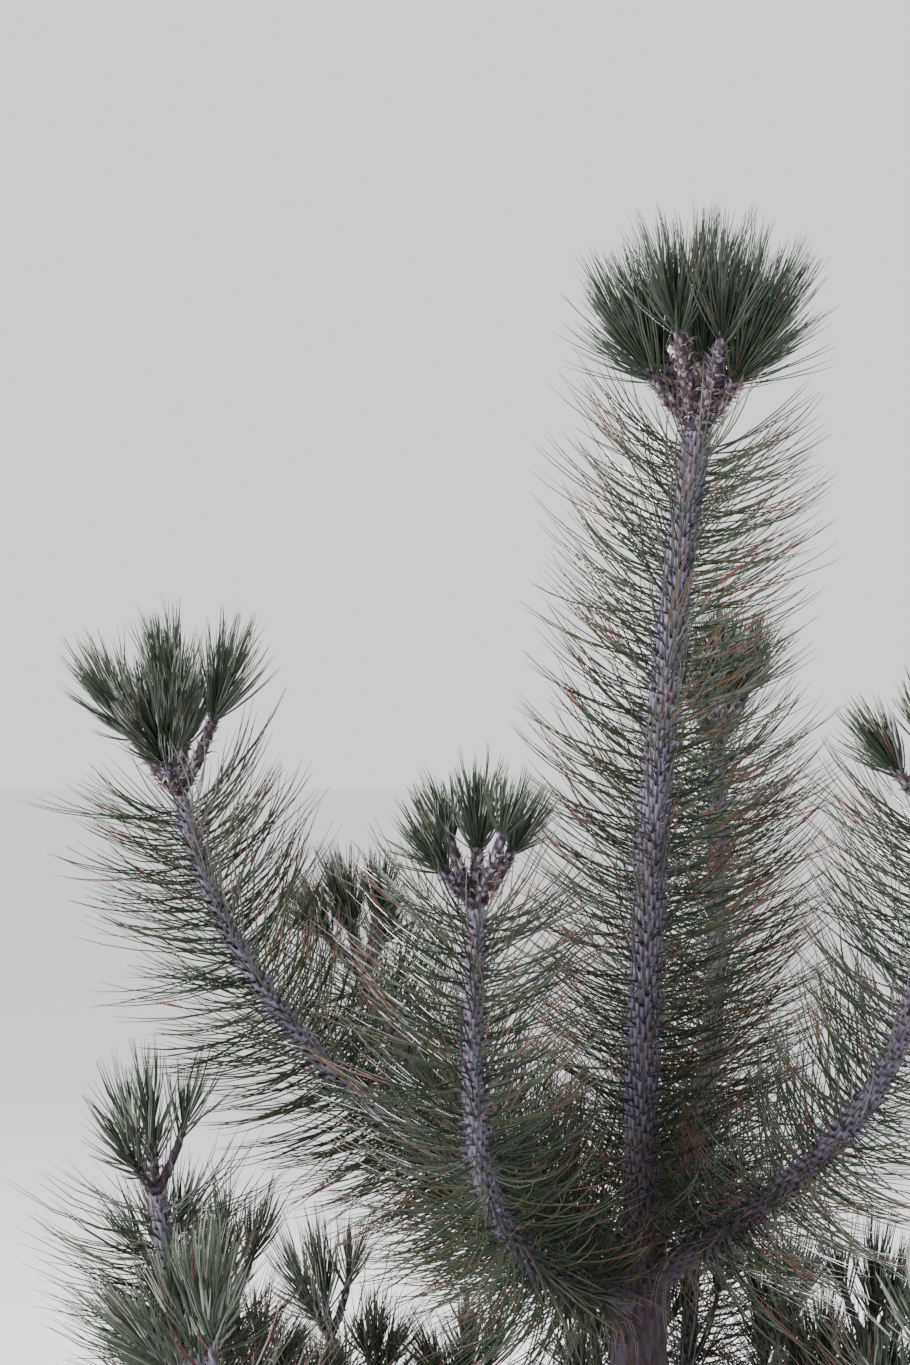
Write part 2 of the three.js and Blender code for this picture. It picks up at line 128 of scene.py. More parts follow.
def near_cushions(reach, radius, sides, pitch, rows, wander):
    """How far every point of a skin lies across and above each near cushion of the spiral on it."""
    angle = np.arange(sides) * 2 * np.pi / sides
    number = np.floor(reach / pitch)[:, None] + np.arange(-rows, rows + 1)
    stray = np.modf(np.abs(np.sin(number * SCATTER_STEP)) * SCATTER_SPREAD)[0] - 0.5
    turn = number * math.radians(GOLDEN_ANGLE) + wander * stray
    gap = angle[None, :, None] - turn[:, None, :]
    across = (np.mod(gap + np.pi, 2 * np.pi) - np.pi) * radius[:, None, None]
    above = (reach[:, None] - pitch * (number + WANDER_ALONG * wander * stray))[:, None, :]
    return across, above


# A cushion has a narrow low foot, widens and rises on the way up, and ends in a brow with a scar on it.
CUSHION_WANDER, CUSHION_SQUARENESS = 0.1, 2.6
FOOT_WIDTH, WIDENS_OVER, RISES_OVER, FOOT_RISE = 0.45, 0.6, 0.35, 0.8
BROW_TOP, BROW_OVER = 1.2, 1.4
SCAR_PLACE, SCAR_WIDTH, SCAR_HEIGHT, SCAR_DEPTH = 1.0, 1.15, 0.95, 0.85


def cushion_relief(reach, radius, sides, pitch, long=22, wide=1.9):
    """Height of the bark with ridged needle cushions: each runs down from its needles, under a small scar."""
    across, above = near_cushions(reach, radius, sides, pitch, int(long / pitch) + 2, CUSHION_WANDER)
    along = above + long
    lens = wide * blend(FOOT_WIDTH, 1, smooth(along / (WIDENS_OVER * long)))
    body = smooth(along / (RISES_OVER * long)) * smooth((BROW_TOP - above) / BROW_OVER)
    ridge = np.exp(-np.abs(across / lens) ** CUSHION_SQUARENESS)
    ridge = ridge * body * blend(FOOT_RISE, 1, smooth(along / long))
    scar = np.exp(-((across / SCAR_WIDTH) ** 2) - ((above - SCAR_PLACE) / SCAR_HEIGHT) ** 2)
    return ridge.max(-1) - SCAR_DEPTH * scar.max(-1)


PLATE_ROWS, PLATE_WANDER, CRACK_WIDTH, PLATE_EVENNESS = 2.2, 0.55, 0.55, 0.8


def plate_relief(reach, radius, sides, pitch, long=40, wide=5.5):
    """Height of old bark: long plates with cracks between them."""
    across, above = near_cushions(reach, radius, sides, pitch, int(PLATE_ROWS * long / pitch), PLATE_WANDER)
    apart = np.sort(np.hypot(across / wide, above / long), -1)
    nearest, second = apart[..., 0], apart[..., 1]
    plate = smooth((second - nearest) / CRACK_WIDTH)
    return plate * (PLATE_EVENNESS + (1 - PLATE_EVENNESS) * np.sin(9 * nearest + 3 * second))


def raised(relief, depth):
    """How far bark stands out: its relief at full depth, less what is sunk under the round of the limb."""
    full, sunk = depth
    return full * relief - sunk


def toned(relief, tones):
    """How light bark is: dark in its grooves, and lighter by a span on its ridges. The dark of the grooves is
    partly painted shade.
    """
    dark, span = tones
    return dark + span * relief


def domed(radii, reach, over):
    """Radii drawn in to a round end over the last stretch of a limb."""
    past = np.clip((reach - reach[-1] + over) / over, 0, 1)
    return radii * np.sqrt(1 - DOME_ROUNDNESS * past**2)[:, None]


def tube(limb, radii, tones):
    """A closed skin of rings round a limb, one row of radii and of tones to a ring."""
    rings, sides = radii.shape
    angle = np.arange(sides) * 2 * np.pi / sides
    spokes = limb.side[:, None] * np.cos(angle)[:, None] + limb.up[:, None] * np.sin(angle)[:, None]
    skin = limb.points[:, None] + radii[..., None] * spokes
    points = np.concatenate([skin.reshape(-1, 3), limb.points[:1], limb.points[-1:]])
    ring, place = np.meshgrid(np.arange(rings - 1) * sides, np.arange(sides), indexing="ij")
    beside = (place + 1) % sides
    quads = np.stack([ring + place, ring + sides + place, ring + sides + beside, ring + beside], -1)
    first, last = rings * sides, rings * sides + 1
    start, after = np.arange(sides), (np.arange(sides) + 1) % sides
    foot = np.stack([np.full(sides, first), start, after], -1)
    top = np.stack([np.full(sides, last), after + (rings - 1) * sides, start + (rings - 1) * sides], -1)
    caps = np.concatenate([foot, top])
    tone = np.concatenate([tones.ravel(), [tones[0].mean(), tones[-1].mean()]])
    return SimpleNamespace(points=points, quads=quads.reshape(-1, 4), caps=caps, tone=tone)


def skin_piece(name, skins, *finishes):
    """One smooth mesh at the origin from several skins, with the tone of its bark kept as an attribute."""
    mesh = bpy.data.meshes.new(name)
    faces, offset = [], 0
    for skin in skins:
        faces += (skin.quads + offset).tolist() + (skin.caps + offset).tolist()
        offset += len(skin.points)
    mesh.from_pydata(np.concatenate([skin.points for skin in skins]) * MM, [], faces)
    tone = mesh.attributes.new("tone", "FLOAT", "POINT")
    tone.data.foreach_set("value", np.concatenate([skin.tone for skin in skins]).astype(np.float32))
    mesh.shade_smooth()
    for finish in finishes:
        mesh.materials.append(finish)
    piece = bpy.data.objects.new(name, mesh)
    bpy.context.scene.collection.objects.link(piece)
    return piece


def add_node(tree, kind, *values, **settings):
    """A node with its first inputs filled in order, each by a plain value or by another node's output."""
    made = tree.nodes.new(kind)
    for key, value in settings.items():
        setattr(made, key, value)
    for socket, value in zip(made.inputs, values):
        if isinstance(value, bpy.types.NodeSocket):
            tree.links.new(value, socket)
        elif value is not None:
            socket.default_value = value
    return made


FLECK_SCALE, BROAD_DETAIL, FLECK_DETAIL = 7.0, 3.0, 2.0
PATCH_LOW, PATCH_HIGH = 0.35, 0.65


def patches_group():
    """Weathering in patches: a soft mask with finer flecks in it, at a named scale."""
    tree = bpy.data.node_groups.new("weathered patches", "ShaderNodeTree")
    for name, usual in (("Scale", 30), ("Flecks", 0.5)):
        socket = tree.interface.new_socket(name=name, in_out="INPUT", socket_type="NodeSocketFloat")
        socket.default_value = usual
    tree.interface.new_socket(name="Mask", in_out="OUTPUT", socket_type="NodeSocketFloat")
    sizes = tree.nodes.new("NodeGroupInput").outputs
    place = tree.nodes.new("ShaderNodeTexCoord").outputs["Object"]
    broad = add_node(tree, "ShaderNodeTexNoise", place, None, sizes["Scale"], BROAD_DETAIL)
    finer = add_node(tree, "ShaderNodeMath", sizes["Scale"], FLECK_SCALE, operation="MULTIPLY")
    fleck = add_node(tree, "ShaderNodeTexNoise", place, None, finer.outputs[0], FLECK_DETAIL)
    mixed = add_node(tree, "ShaderNodeMix", sizes["Flecks"], None, broad.outputs[0], fleck.outputs[0])
    mask = add_node(tree, "ShaderNodeMapRange", mixed.outputs[0], PATCH_LOW, PATCH_HIGH, 0.0, 1.0)
    tree.links.new(mask.outputs[0], tree.nodes.new("NodeGroupOutput").inputs[0])
    return tree


WEATHERED_PATCHES = patches_group()


def new_finish(name, roughness, specular):
    """A material with its shader, ready for its own nodes."""
    finish = bpy.data.materials.new(name)
    finish.use_nodes = True
    shader = finish.node_tree.nodes["Principled BSDF"]
    shader.inputs["Roughness"].default_value = roughness
    shader.inputs["Specular IOR Level"].default_value = specular
    return finish, finish.node_tree, shader


def patches(tree, scale, flecks):
    made = tree.nodes.new("ShaderNodeGroup")
    made.node_tree = WEATHERED_PATCHES
    made.inputs["Scale"].default_value = scale
    made.inputs["Flecks"].default_value = flecks
    return made.outputs["Mask"]


# A Mix node's factor, its two colours and its mixed colour are these of its numbered sockets.
MIX_FACTOR, MIX_FIRST, MIX_SECOND, MIX_RESULT = 0, 6, 7, 2


def mix_colours(tree, factor, first, second):
    made = tree.nodes.new("ShaderNodeMix")
    made.data_type = "RGBA"
    for number, value in ((MIX_FACTOR, factor), (MIX_FIRST, first), (MIX_SECOND, second)):
        socket = made.inputs[number]
        if isinstance(value, bpy.types.NodeSocket):
            tree.links.new(value, socket)
        else:
            socket.default_value = value if isinstance(value, float) else (*value, 1)
    return made.outputs[MIX_RESULT]


# The two darkest bark colours, of cracks and grooves, are partly the bark's own dark and partly painted
# shade.
CRACK_DARK_AND_SHADE, GROOVE_DARK_AND_SHADE = (0.010, 0.008, 0.012), (0.048, 0.039, 0.058)
BARK_GREY, RIDGE_LAVENDER = (0.120, 0.106, 0.158), (0.36, 0.335, 0.475)
BARK_BROWN, BROWN_SHARE = (0.098, 0.064, 0.056), 0.6
GROOVE_TONE, GREY_TONE = 0.30, 0.62
GRAIN_SCALE, GRAIN_DETAIL, GRAIN_STRENGTH, GRAIN_DEPTH = 900.0, 4.0, 0.5, 0.0006


def bark_finish():
    """Bark: dark in its cracks and scars, lavender grey on its ridges, with brown patches. The dark of its
    cracks and grooves is partly painted shade.
    """
    finish, tree, shader = new_finish("grey-purple bark", roughness=0.85, specular=0.25)
    tone = add_node(tree, "ShaderNodeAttribute", attribute_name="tone")
    ramp = add_node(tree, "ShaderNodeValToRGB", tone.outputs["Fac"])
    stops = ramp.color_ramp.elements
    stops[0].color, stops[1].color = (*CRACK_DARK_AND_SHADE, 1), (*RIDGE_LAVENDER, 1)
    stops.new(GROOVE_TONE).color = (*GROOVE_DARK_AND_SHADE, 1)
    stops.new(GREY_TONE).color = (*BARK_GREY, 1)
    brown = mix_colours(tree, BROWN_SHARE, ramp.outputs["Color"], BARK_BROWN)
    colour = mix_colours(tree, patches(tree, scale=26, flecks=0.35), ramp.outputs["Color"], brown)
    tree.links.new(colour, shader.inputs["Base Color"])
    place = tree.nodes.new("ShaderNodeTexCoord").outputs["Object"]
    grain = add_node(tree, "ShaderNodeTexNoise", place, None, GRAIN_SCALE, GRAIN_DETAIL)
    bump = add_node(tree, "ShaderNodeBump", GRAIN_STRENGTH, GRAIN_DEPTH)
    tree.links.new(grain.outputs[0], bump.inputs["Height"])
    tree.links.new(bump.outputs[0], shader.inputs["Normal"])
    return finish


EARLY_WOOD, LATE_WOOD, WOOD_STAIN = (0.50, 0.36, 0.22), (0.33, 0.20, 0.11), (0.36, 0.25, 0.16)
RING_SCALE, RING_WAVER, RING_DETAIL = 90.0, 1.5, 2.0


def cut_wood_finish():
    """The sawn foot: pale wood with growth rings round the pith."""
    finish, tree, shader = new_finish("cut wood", roughness=0.7, specular=0.3)
    place = tree.nodes.new("ShaderNodeTexCoord").outputs["Object"]
    rings = add_node(
        tree, "ShaderNodeTexWave", place, RING_SCALE, RING_WAVER, RING_DETAIL,
        wave_type="RINGS", rings_direction="Z",
    )
    colour = mix_colours(tree, rings.outputs["Fac"], EARLY_WOOD, LATE_WOOD)
    stained = mix_colours(tree, patches(tree, scale=40, flecks=0.4), colour, WOOD_STAIN)
    tree.links.new(stained, shader.inputs["Base Color"])
    return finish


BARK, CUT_WOOD = bark_finish(), cut_wood_finish()

levels = np.concatenate([
    np.arange(0, FOOT_TOP, FOOT_STEP),
    np.arange(FOOT_TOP, STEM_TOP, STEM_STEP),
    np.linspace(STEM_TOP, TRUNK_TOP, LEADER_RINGS),
])
trunk_limb = limb_along(trunk_point(levels))
trunk_limb.heading[0] = (0, 0, 1)
trunk_limb.radius = trunk_radius(levels)
angles = np.arange(TRUNK_SIDES) * 2 * np.pi / TRUNK_SIDES
lobes = 1 + LOBE_DEPTH * np.cos(FLARE_LOBES * angles + LOBE_TURN)
round_trunk = trunk_limb.radius[:, None] + FLARE * np.exp(-levels / FLARE_HEIGHT)[:, None] * lobes
young = smooth((levels - YOUNG_FROM) / YOUNG_OVER)[:, None]
cushioned = cushion_relief(levels, trunk_limb.radius, TRUNK_SIDES, LEADER_PITCH)
plated = plate_relief(levels, trunk_limb.radius, TRUNK_SIDES, PLATE_PITCH)
trunk_height = blend(raised(plated, PLATE_DEPTH), raised(cushioned, CUSHION_DEPTH), young)
trunk_tone = blend(toned(plated, PLATE_TONES), toned(cushioned, CUSHION_TONES), young)
# Painted shade: the bark is darker round the crown whorl, where the boughs and needles shade it.
shade = PAINTED_WHORL_SHADE * np.exp(-(((levels - PAINTED_SHADE_MIDDLE) / PAINTED_SHADE_HEIGHT) ** 2))
trunk_tone = trunk_tone * (1 - shade)[:, None]
trunk_skin = tube(trunk_limb, domed(round_trunk + trunk_height, levels, TRUNK_DOME), trunk_tone)
trunk_skin.points[:, 2] = np.maximum(trunk_skin.points[:, 2], 0)
trunk = skin_piece("trunk_bark", [trunk_skin], BARK, CUT_WOOD)
for face in trunk.data.polygons[-2 * TRUNK_SIDES : -TRUNK_SIDES]:
    face.material_index = 1
    face.use_smooth = False
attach(trunk, "root")
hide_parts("trunk")

# Boughs: five or six tapering limbs grown out of each whorl, with a swollen collar where they leave the
# trunk. They sweep out and then turn upwards. Those of the crown are one year's growth, with cushions like
# the leader's, and the older ones below have smoother, finely cracked bark on their bare feet.
LIMB_TIP_SHARE = 0.62
COLLAR, COLLAR_REACH = 0.3, 13
BOUGH_CUSHION = {"long": 18, "wide": 1.8}
BOUGH_PLATE = {"pitch": 2.4, "long": 20, "wide": 4}
AGED_EARLIER, AGED_OVER = 0.05, 0.1
CRACKED_DEPTH, BOUGH_DEPTH = (1.2, 0.8), (1.1, 0.4)
# TIP_LIGHT is how light the painted shade leaves a bough's outer half.
CRACKED_TONES, TIP_LIGHT = (0.12, 0.5), 0.95
FOOT_INSIDE, BOUGH_DOME = 7, 6


def ring_of_boughs(name, count, first_turn, length, rise_foot, rise_tip):
    """Like boughs all round a whorl, each a little off in its turn, length, rise and lift."""
    boughs = []
    for i in range(count):
        turn = first_turn + (360 / count) * i + 9 * math.sin(2.1 * i)
        uneven = length * (1 + 0.1 * math.cos(2.4 * i))
        rise = rise_foot + 4 * math.sin(1.7 * i)
        lift = 9 * math.cos(2.9 * i)
        boughs.append((f"{name}_{i + 1}", turn, uneven, rise, rise_tip, 0.12, 0.95, lift))
    return boughs


# A bough is its name, turn, length, rise at the foot and the tip, start and end of its bend, and lift.
WHORLS = [
    SimpleNamespace(
        name="crown", height=CROWN_HEIGHT, radius=11.5, bare=0.13, pitch=0.76, sides=48, spacing=1.7,
        boughs=[
            ("left", 172, 642, 34, 81, 0.29, 1.17, -14),
            ("centre", 226, 490, 16, 92, 0.05, 0.8, -14),
            ("right", -25, 540, 37, 88, 0.19, 0.962, -2),
            ("rear_right", 66, 580, 25, 88, 0.1, 0.7, 12),
            ("rear_left", 140, 415, 22, 50, 0.1, 1.0, 18),
        ],
    ),
    SimpleNamespace(
        name="second", height=SECOND_HEIGHT, radius=12.5, bare=0.4, pitch=1.3, sides=28, spacing=2.4,
        boughs=[
            ("second_left", 176, 700, 17, 81, 0.13, 0.93, 0),
            ("second_front_left", 236, 825, 10, 74, 0.18, 0.94, -20),
            ("second_front_right", 300, 600, 18, 76, 0.15, 0.95, 12),
            ("second_right", 14, 420, 30, 84, 0.1, 1.0, -8),
            ("second_rear", 76, 560, 16, 76, 0.2, 0.95, 10),
            ("second_rear_left", 133, 525, 16, 68, 0.25, 1.13, -16),
        ],
    ),
    SimpleNamespace(
        name="third", height=THIRD_HEIGHT, radius=10.5, bare=0.42, pitch=2.1, sides=26, spacing=2.6,
        boughs=ring_of_boughs("third", 5, 44, 640, 10, 68),
    ),
]


def limb_line(start, turn, length, rises, bends, spacing):
    """A middle line that leaves its start at a low rise, turns upwards along its bend and keeps its turn."""
    steps = max(6, round(length / spacing))
    share = (np.arange(steps) + 0.5) / steps
    rise = np.radians(blend(*rises, smooth((share - bends[0]) / (bends[1] - bends[0]))))
    level = np.array([math.cos(math.radians(turn)), math.sin(math.radians(turn)), 0])
    heading = np.cos(rise)[:, None] * level + np.sin(rise)[:, None] * np.array([0, 0, 1.0])
    return np.concatenate([[start], start + np.cumsum(heading, axis=0) * length / steps])


limbs = []
for whorl in WHORLS:
    for name, turn, length, rise_foot, rise_tip, bend_start, bend_end, lift in whorl.boughs:
        start = trunk_point(whorl.height + lift)
        line = limb_line(start, turn, length, (rise_foot, rise_tip), (bend_start, bend_end), whorl.spacing)
        limb = limb_along(line)
        limb.name, limb.whorl, limb.turn, limb.length, limb.rise_tip = name, whorl, turn, length, rise_tip
        limb.radius = whorl.radius * blend(1, LIMB_TIP_SHARE, limb.reach / length)
        limbs.append(limb)

for limb in limbs:
    whorl = limb.whorl
    from_trunk = np.hypot(*(limb.points[:, :2] - trunk_point(limb.points[:, 2])[:, :2]).T)
    beyond = from_trunk - trunk_radius(limb.points[:, 2])
    collar = 1 + COLLAR * np.exp(-np.maximum(0, beyond) / COLLAR_REACH)
    round_limb = (limb.radius * collar)[:, None]
    cushioned = cushion_relief(limb.reach, limb.radius, whorl.sides, whorl.pitch, **BOUGH_CUSHION)
    cracked = plate_relief(limb.reach, limb.radius, whorl.sides, **BOUGH_PLATE)
    aged = 0 if whorl.name == "crown" else whorl.bare
    young = smooth((limb.reach / limb.length - aged + AGED_EARLIER) / AGED_OVER)[:, None]
    height = blend(raised(cracked, CRACKED_DEPTH), raised(cushioned, BOUGH_DEPTH), young)
    # Painted shade: a bough's cushioned bark is darkened by the trunk and lightens towards its outer half.
    painted_bough_shade = blend(1 - PAINTED_WHORL_SHADE, TIP_LIGHT, np.clip(2 * limb.reach / limb.length, 0, 1))[:, None]
    tone = blend(toned(cracked, CRACKED_TONES), toned(cushioned, CUSHION_TONES) * painted_bough_shade, young)
    kept = int(np.argmax(beyond > -FOOT_INSIDE))
    part = SimpleNamespace(**{key: getattr(limb, key)[kept:] for key in ("points", "side", "up")})
    skin = tube(part, domed(round_limb + height, limb.reach, BOUGH_DOME)[kept:], tone[kept:])
    bough = skin_piece(f"bough_{limb.name}_bark", [skin], BARK)
    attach(bough, "root")
    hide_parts(f"bough_{limb.name}")

# Side twigs: on the older boughs two twigs leave where the needles begin and turn upwards. Each twig carries
# two finer ones, and so does the bough further out. They are thin round shoots of wood in scaly bark.
TWIG_TURN, TWIG_FROM, TWIG_SHARE, TWIG_RISE, TWIG_RADIUS = 46, 0.05, 0.7, 24, 0.62
SHOOT_TAPER = 0.6
FINE_TWIG_TURN, FINE_TWIG_RADIUS = 40, 0.55
# Finer twigs on a twig and on a bough: where the two leave, their share of its length, and their rise.
ON_TWIG, ON_BOUGH = (0.45, 0.62, 0.3, 70), (0.66, 0.74, 0.16, 74)
TWIG_SPACING, FINE_TWIG_SPACING = 4, 6
TWIG_SIDES, FINE_TWIG_SIDES = 12, 8
TWIG_PITCH, TWIG_CUSHION = 2.6, {"long": 12, "wide": 2.0}
TWIG_DEPTH, TWIG_TONES = (0.7, 0.3), (0.15, 0.75)


def shoot_from(parent, share, turn, length, rise_tip, radius, spacing):
    """A side shoot that leaves its parent at a turn and rises over its whole length."""
    at = round(share * (len(parent.points) - 1))
    rise_foot = math.degrees(math.asin(parent.heading[at, 2])) - TWIG_RISE
    made = limb_along(limb_line(parent.points[at], turn, length, (rise_foot, rise_tip), (-0.2, 1), spacing))
    made.length, made.whorl = length, parent.whorl
    made.radius = radius * blend(1, SHOOT_TAPER, made.reach / length)
    return made


def fine_twigs_on(parent, turn, length, first_hand, radius, rule):
    """Two finer twigs, one to each hand."""
    first_share, second_share, of_length, rise_tip = rule
    for share, hand in ((first_share, first_hand), (second_share, -first_hand)):
        fine_turn, fine_length = turn + hand * FINE_TWIG_TURN, length * of_length
        yield shoot_from(parent, share, fine_turn, fine_length, rise_tip, radius, FINE_TWIG_SPACING)


twigs, fine_twigs = [], []
for limb in limbs:
    if limb.whorl.name == "crown":
        continue
    leaves = limb.whorl.bare + TWIG_FROM
    slim = limb.whorl.radius * blend(1, LIMB_TIP_SHARE, limb.whorl.bare) * TWIG_RADIUS
    finer = slim * FINE_TWIG_RADIUS
    for hand in (-1, 1):
        turn, length = limb.turn + hand * TWIG_TURN, limb.length * (1 - leaves) * TWIG_SHARE
        twig = shoot_from(limb, leaves, turn, length, limb.rise_tip, slim, TWIG_SPACING)
        twigs.append(twig)
        fine_twigs += fine_twigs_on(twig, turn, length, hand, finer, ON_TWIG)
    fine_twigs += fine_twigs_on(limb, limb.turn, limb.length, 1, finer, ON_BOUGH)

twig_skins = []
for some, sides in ((twigs, TWIG_SIDES), (fine_twigs, FINE_TWIG_SIDES)):
    for twig in some:
        relief = cushion_relief(twig.reach, twig.radius, sides, TWIG_PITCH, **TWIG_CUSHION)
        radii = twig.radius[:, None] + raised(relief, TWIG_DEPTH)
        twig_skins.append(tube(twig, radii, toned(relief, TWIG_TONES)))
twig_bark = skin_piece("twig_bark", twig_skins, BARK)
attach(twig_bark, "root")

# New shoots: a cluster on the tip of the leader and of every bough and twig. A shoot's foot is bare and
# scaly, and its end is dense with short needles. They grow on from the tip, one in the middle and others
# leaning out round it, about a line halfway between the limb's own direction and upright.
CLUSTER_TURN = 54
MIDDLE_SHOOT, ALMOST_STRAIGHT = 1.1, 0.01
TURN_SPREAD, TILT_SPREAD, LEANS_OUT, DRAWS_IN = 12, 8, 8, 12
MIDDLE_LEAFY, WEAK_BARE, LONG_BARE = 0.18, 0.6, 1.2
LEADER_CLUSTER = SimpleNamespace(side=8, length=114, spread=0.08, tilt=35, radius=8, bare=0.62, needle=86)
BOUGH_CLUSTER = SimpleNamespace(side=4, length=92, spread=0.1, tilt=36, radius=6.6, bare=0.6, needle=66)
LOWER_CLUSTER = SimpleNamespace(side=3, length=72, spread=0.12, tilt=33, radius=5, bare=0.5, needle=68)
TWIG_CLUSTER = SimpleNamespace(side=2, length=50, spread=0.12, tilt=33, radius=3.4, bare=0.42, needle=60)
LEADER_STEPS, CROWN_STEPS, BOUGH_STEPS, TWIG_STEPS = 46, 36, 20, 7
KNOB_SHARE, KNOB_SUNK, KNOB_STEPS, KNOB_TAPER = 0.28, 4, 24, (0.98, 0.8)
VIGOUR = {"left": 1.1, "centre": 0.8, "right": 0.85, "rear_right": 0.95, "rear_left": 0.85}
SHOOT_PITCH, SHOOT_CUSHION = 2.0, {"long": 8, "wide": 1.7}
SHOOT_DEPTH, SHOOT_TONES, SHOOT_DOME = (0.9, 0.4), (0.15, 0.85), 6


def grown_by(share):
    """A bough's cluster, its shoots and needles made longer or shorter. A weak one is bare for longer."""
    grown = SimpleNamespace(**vars(BOUGH_CLUSTER))
    grown.length *= share
    grown.needle *= share
    grown.bare += WEAK_BARE * (1 - share)
    return grown


def square_to(heading):
    guide = np.array([0, 0, 1.0]) if abs(heading[0]) > STEEP else np.array([1.0, 0, 0])
    side = guide - heading * guide.dot(heading)
    side /= np.linalg.norm(side)
    return side, np.cross(side, heading)


def leaning_line(root, heading, out, length, start, finish, steps):
    """A line that leaves at a start angle from a heading and curves evenly to its finish angle."""
    lean = np.radians(blend(start, finish, (np.arange(steps) + 0.5) / steps))[:, None]
    step = out * np.sin(lean) + heading * np.cos(lean)
    return np.concatenate([[root], root + np.cumsum(step, axis=0) * length / steps])


def cluster_shoots(tip, heading, cluster, turn, steps):
    """A middle shoot and its ring of leaning ones. The middle one is leafy from lower down."""
    heading = heading + (0, 0, 1)
    heading /= np.linalg.norm(heading)
    side, up = square_to(heading)
    middle = cluster.length * MIDDLE_SHOOT
    lines = [(middle, leaning_line(tip, heading, side, middle, 0, ALMOST_STRAIGHT, steps))]
    for i in range(cluster.side):
        angle = math.radians(turn + (360 / cluster.side) * i + TURN_SPREAD * math.sin(2.3 * i))
        out = side * math.cos(angle) + up * math.sin(angle)
        length = cluster.length * (1 + cluster.spread * math.cos(2.6 * i))
        tilt = cluster.tilt + TILT_SPREAD * math.cos(2.4 * (i - 1))
        line = leaning_line(tip, heading, out, length, tilt + LEANS_OUT, tilt - DRAWS_IN, steps)
        lines.append((length, line))
    shoots = []
    for length, line in lines:
        shoot = limb_along(line)
        shoot.length, shoot.cluster = length, cluster
        shoot.bare = cluster.bare + LONG_BARE * (length / cluster.length - 1)
        shoot.radius = cluster.radius * blend(1, SHOOT_TAPER, shoot.reach / length)
        shoots.append(shoot)
    shoots[0].bare = cluster.bare - MIDDLE_LEAFY
    return shoots


crown_limbs = [limb for limb in limbs if limb.whorl.name == "crown"]
lower_limbs = [limb for limb in limbs if limb.whorl.name != "crown"]
leader_tip, leader_heading = trunk_point(TRUNK_TOP), trunk_limb.heading[-1]
leader_shoots = cluster_shoots(leader_tip, leader_heading, LEADER_CLUSTER, 9 * CLUSTER_TURN, LEADER_STEPS)
crown_shoots, lower_shoots = [], {"second": [], "third": []}
for i, limb in enumerate(crown_limbs):
    tip, heading, cluster = limb.points[-1], limb.heading[-1], grown_by(VIGOUR[limb.name])
    crown_shoots += cluster_shoots(tip, heading, cluster, (20 + i) * CLUSTER_TURN, CROWN_STEPS)
for i, limb in enumerate(lower_limbs, len(crown_limbs)):
    made = cluster_shoots(limb.points[-1], limb.heading[-1], LOWER_CLUSTER, 70 * i, BOUGH_STEPS)
    lower_shoots[limb.whorl.name] += made
for i, twig in enumerate(twigs + fine_twigs):
    cluster = LOWER_CLUSTER if i < len(twigs) else TWIG_CLUSTER
    made = cluster_shoots(twig.points[-1], twig.heading[-1], cluster, 40 * i, TWIG_STEPS)
    lower_shoots[twig.whorl.name] += made


def knob_on(limb, radius, cluster):
    """The swollen node under a cluster, out of which its shoots grow."""
    steps = np.linspace(-KNOB_SUNK, cluster.length * KNOB_SHARE, KNOB_STEPS)[:, None]
    knob = limb_along(limb.points[-1] + steps * limb.heading[-1])
    knob.radius = radius * blend(*KNOB_TAPER, knob.reach / knob.reach[-1])
    return knob


leader_knob = knob_on(trunk_limb, LEADER_TIP_RADIUS, LEADER_CLUSTER)
crown_knobs = [knob_on(limb, limb.radius[-1], grown_by(VIGOUR[limb.name])) for limb in crown_limbs]
# The shoots whose bark is made together, and how many sides they have.
SHOOTS_BY_SIDES = [
    ([leader_knob, *leader_shoots], 24),
    ([*crown_knobs, *crown_shoots], 18),
    ([*lower_shoots["second"], *lower_shoots["third"]], 7),
]
shoot_skins = []
for shoots, sides in SHOOTS_BY_SIDES:
    for shoot in shoots:
        relief = cushion_relief(shoot.reach, shoot.radius, sides, SHOOT_PITCH, **SHOOT_CUSHION)
        radii = shoot.radius[:, None] + raised(relief, SHOOT_DEPTH)
        rounded = domed(radii, shoot.reach, SHOOT_DOME)
        shoot_skins.append(tube(shoot, rounded, toned(relief, SHOOT_TONES)))
new_shoots = skin_piece("new_shoot_bark", shoot_skins, BARK)
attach(new_shoots, "root")

# Needles: stiff, glossy and dark green, up to 15 centimetres long, in pairs on a spiral. They leave the shoot
# almost square and curve towards its tip, and the ends of many have turned russet. One that would run into
# wood is made shorter, or else left out. All are bent from one straight sliver by the tree of nodes below.
NEEDLE_LENGTH, NEEDLE_RADIUS = 140, 0.78
SHORTER, TESTED_SHARES = (1, 0.82, 0.66), (0.35, 0.55, 0.78, 1.0)
NEAR_WOOD, CLEAR_OF_WOOD, CLEAR_OF_GROUND = 60, 2, 4
REACH_BEYOND_SOLIDS = 16
ROOT_IN_BARK, PAIR_GAP, PAIR_SWERVE, PAIR_LENGTHS = 0.92, 0.4, 0.4, (0.95, 1.0)
START_SPREAD, FINISH_SPREAD = 2, 4
NO_TIP_TINT = 2.0
chance = np.random.default_rng(20)


def wood_segments():
    """Every stretch of wood as its two ends and its radius, coarse enough to test all needles against."""
    found = []
    for wood, every in (([trunk_limb], 12), (limbs, 14), (twigs, 10)):
        for limb in wood:
            marks = [*range(0, len(limb.points) - 1, every), len(limb.points) - 1]
            found += [(limb.points[a], limb.points[b], limb.radius[a]) for a, b in zip(marks, marks[1:])]
    return found


